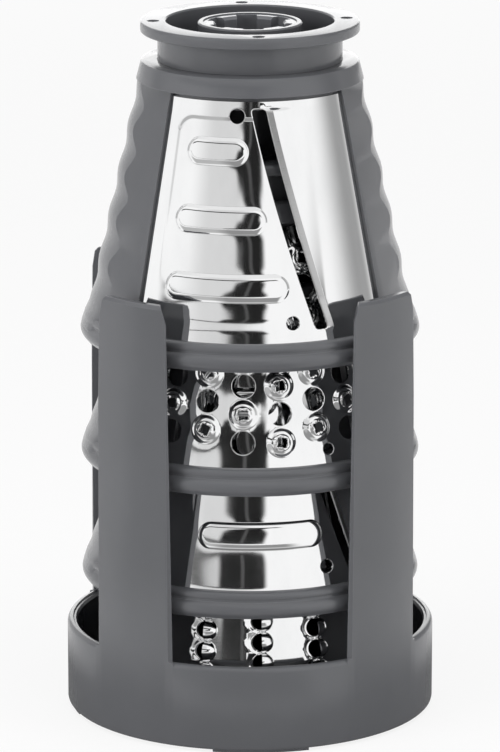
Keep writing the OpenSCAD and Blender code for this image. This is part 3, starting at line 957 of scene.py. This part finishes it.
def widen_dimples(verts, turn):
    """Opens the four small holes in a flange into the dimples that the moulding shows."""
    for quarter in range(4):
        a = turn + quarter * math.pi / 2
        axis = Vector((DIMPLE_PITCH_R * math.cos(a), DIMPLE_PITCH_R * math.sin(a), 0)) * MM
        for v in verts:
            out = v.co - axis
            if math.hypot(out.x, out.y) < DIMPLE_REACH * MM:
                v.co = axis + Vector((out.x * DIMPLE_WIDER, out.y * DIMPLE_WIDER, out.z))


def on_rib(place, kind):
    """Degrees from the middle of a rib, and the cone's radius as a share of the place's own.

    Both are none for a place that isn't on a rib's outer face.
    """
    level = place.z / MM - drum_z(kind)
    r = math.hypot(place.x, place.y) / MM
    if RIB_LOW_Z < level < RIB_TOP_Z and r > CONE_LOW_R - LEAN * level - 1:
        turn = math.degrees(math.atan2(place.y, place.x)) - TURNS[kind]
        return abs((turn + 90) % 180 - 90), (CONE_LOW_R - LEAN * level) / r
    return None, None


def straighten_rib_edges(verts, kind):
    """Ends the finger scallops short of a rib's edges, which border the sheets in straight lines."""
    for v in verts:
        aside, out = on_rib(v.co, kind)
        if aside is not None and RIB_HALF - SCALLOP_ENDS < aside < RIB_HALF + 0.5:
            out *= 1 - SCALLOP_FALL * (RIB_HALF - aside)
            v.co.x *= out
            v.co.y *= out


def softened(node, material):
    """A copy of a moulding whose round faces are smooth; the finish rounds its corners."""
    body = NODES[node]["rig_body"]
    has_ribs = node.endswith("_frame")

    def smooth_below(edge):
        middle = (edge.verts[0].co + edge.verts[1].co) / 2
        on_face = has_ribs and on_rib(middle, body)[0] is not None
        return RIB_SMOOTH_BELOW if on_face else SMOOTH_BELOW

    made = link_up(bpy.data.objects.new(node + "_moulding", NODES[node].data.copy()))
    build = bmesh.new()
    build.from_mesh(made.data)
    bmesh.ops.remove_doubles(build, verts=build.verts, dist=2e-6)
    if has_ribs:
        straighten_rib_edges(build.verts, body)
    flat_enough = math.radians(0.6)
    bmesh.ops.dissolve_limit(build, angle_limit=flat_enough, verts=build.verts, edges=build.edges)
    if node.endswith("_collar"):
        widen_dimples(build.verts, math.radians(TURNS[body]))
    round_faces(build, smooth_below)
    build.to_mesh(made.data)
    build.free()
    made.data.materials.clear()
    made.data.materials.append(material)
    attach(made, body)
    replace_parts(made, node)
    return made


for node in sorted(NODES):
    if node.endswith("_drive_socket"):
        softened(node, SOCKET_GREY)
    elif not node.endswith("_sheet"):
        softened(node, GREY)


# Studio, in metres
AZIMUTH, ELEVATION, DISTANCE = math.radians(-3.532), math.radians(14.235), 1.5076
TARGET = Vector((0, 0, 0.1))
FLOOR_HALF = 4
DULL_GLOW = 0.18  # tone of the room as light on the object
STRIPE_LEVEL, STRIPE_LEAN = 12.6, 1.2  # degrees up where the stripe meets the lens, and its slant


def rays(graph, first, *others):
    """1 for a ray of one of the named kinds, and 0 for any other."""
    path = graph.node("ShaderNodeLightPath", output=first)
    total = path
    for kind in others:
        total = total.math("MAXIMUM", path.beside(kind))
    return total


def band(value, low, high, soft):
    """1 between low and high, with soft sides."""
    return value.rise(low - soft, low + soft) * (1 - value.rise(high - soft, high + soft))


def lay(under, mask, tone):
    return under * (1 - mask) + mask * tone


class Studio(Graph):
    """White room whose dark cards show only in reflections."""

    def __init__(self):
        world = bpy.data.worlds.new("studio")
        bpy.context.scene.world = world
        world.use_nodes = True
        super().__init__(world.node_tree)
        self.tree.nodes.clear()
        out = self.node("ShaderNodeOutputWorld")
        x, y, z = self.split(self.node("ShaderNodeTexCoord", output="Generated"))
        ahead = x * math.sin(AZIMUTH) - y * math.cos(AZIMUTH)
        aside = x * math.cos(AZIMUTH) + y * math.sin(AZIMUTH)
        side = aside.math("ARCTAN2", ahead) * math.degrees(1)
        up = z.math("ARCSINE") * math.degrees(1)
        tones = {0: rays(self, "Is Glossy Ray"), 2: 1.0, 3: self.reflected(side, up)}
        tone = self.node("ShaderNodeMix", {"data_type": "FLOAT"}, tones)
        dull = self.node("ShaderNodeBackground", inputs={"Color": grey(DULL_GLOW)})
        shown = self.node("ShaderNodeBackground", inputs={"Color": tone})
        seen = rays(self, "Is Camera Ray", "Is Glossy Ray", "Is Transmission Ray")
        self.feed(out.inputs[0], self.blend(seen, dull, shown))

    def reflected(self, side, up):
        """Tone of the room by the degrees right of the lens and the degrees above the floor."""
        tone = 1.0
        for mask, level in self.cards(side, up) + self.stripes(side, up):
            tone = lay(tone, mask, level)
        return tone

    def cards(self, side, up):
        """Where the pale and grey cards stand round the room, each with its tone."""
        left_back = band(side, -128, -100, 6)
        left_front = band(side, -46, -2, 12)
        right = side.rise(64, 94) * (1 - side.rise(100, 112))
        back = band(side.math("ABSOLUTE"), 118, 200, 6)
        right_back = band(side, 112, 162, 8)
        ceiling = up.rise(46, 56)
        return [
            (left_back, 0.5),
            (left_front, 0.72),
            (right, 0.36),
            (back, 0.9),
            (right_back, 0.45),
            (ceiling, 0.87),
        ]

    def stripes(self, side, up):
        """The dark stripe at the lens with a grey line down its middle, and the two dark ledges."""
        away = (side - (up - STRIPE_LEVEL) * STRIPE_LEAN).math("ABSOLUTE")
        half = 17.2 - up.rise(9.4, 11.4) * 5.6 - up.rise(12.9, 13.8) * 3.4
        stripe = (1 - (away - half).rise(-2.4, 1.8)) * band(up, 6.7, 21, 0.4)
        middle = stripe * (1 - away.rise(0.4, 2.0))
        low_ledge = band(side, -72, 6, 5) * band(up, 6.2, 7.1, 0.12)
        high_ledge = band(up, 19, 26.5, 0.6) * band(side, -80, 24, 4)
        return [(stripe, 0.018), (middle, 0.1), (low_ledge, 0.02), (high_ledge, 0.03)]


class Floor(Material):
    """Pale matt table: white to the lens, with the soft shadow of the stand on it; in the steel it shows
    painted shade instead.
    """

    def __init__(self):
        super().__init__("floor_white")
        lit = self.node("ShaderNodeBsdfDiffuse", inputs={"Color": grey(0.9)})
        white = self.node("ShaderNodeEmission", inputs={"Color": grey(1.0)})
        # painted shade: the table's tone in the steel comes from reflected(), not from light on it
        mirrored = self.node("ShaderNodeEmission", inputs={"Color": self.reflected()})
        seen = self.blend(rays(self, "Is Camera Ray"), lit, self.blend(0.85, lit, white))
        in_mirror = rays(self, "Is Glossy Ray", "Is Transmission Ray")
        self.feed(self.out.inputs[0], self.blend(in_mirror, seen, mirrored))

    def reflected(self):
        """Tone of the table in the steel, all painted: a painted shadow dark near the stand, and painted
        grey shade in front and on its left.
        """
        x, y, _ = self.split(self.place)
        away = (x * x + y * y).math("SQRT")
        side = x.math("ARCTAN2", y * -1.0) * math.degrees(1)
        # painted shadow of the stand, dark near it, then painted grey shade on its left and in front
        tone = away.rise(0.07, 0.12) * 0.8 + 0.2
        tone = lay(tone, away.rise(0.12, 0.2) * band(side, -78, -20, 9), 0.5)
        return lay(tone, away.rise(0.09, 0.13) * band(side, -27, 27, 7), 0.3)


Studio()
table = bpy.data.meshes.new("floor")
corners = [(FLOOR_HALF * x, FLOOR_HALF * y, 0) for x, y in ((-1, -1), (1, -1), (1, 1), (-1, 1))]
table.from_pydata(corners, [], [(0, 1, 2, 3)])
table.materials.append(Floor().material)
link_up(bpy.data.objects.new("floor", table))


def softbox(name, place, size, power, mirrored=False):
    data = bpy.data.lights.new(name, "AREA")
    data.size = size
    data.energy = power
    made = link_up(bpy.data.objects.new(name, data))
    made.location = place
    made.rotation_mode = "QUATERNION"
    made.rotation_quaternion = (TARGET - Vector(place)).to_track_quat("-Z", "Y")
    made.visible_glossy = mirrored


softbox("overhead", (0, -0.3, 1.45), size=1.2, power=12)
softbox("left", (-1.3, -0.75, 0.45), size=0.9, power=14)
softbox("right", (1.3, -0.75, 0.45), size=0.9, power=10)
softbox("behind", (0.1, 1.7, 0.62), size=1.2, power=7, mirrored=True)

# Camera, fitted to the view of the photograph
to_lens = Vector((
    math.sin(AZIMUTH) * math.cos(ELEVATION),
    -math.cos(AZIMUTH) * math.cos(ELEVATION),
    math.sin(ELEVATION),
))
lens = bpy.data.cameras.new("camera")
lens.sensor_fit = "HORIZONTAL"
lens.sensor_width = 36
lens.lens = 366.7
lens.shift_y = -0.0036
camera = link_up(bpy.data.objects.new("camera", lens))
camera.location = TARGET + to_lens * DISTANCE
camera.rotation_mode = "QUATERNION"
camera.rotation_quaternion = (-to_lens).to_track_quat("-Z", "Y")
bpy.context.scene.camera = camera
bpy.context.scene.view_settings.view_transform = "Standard"
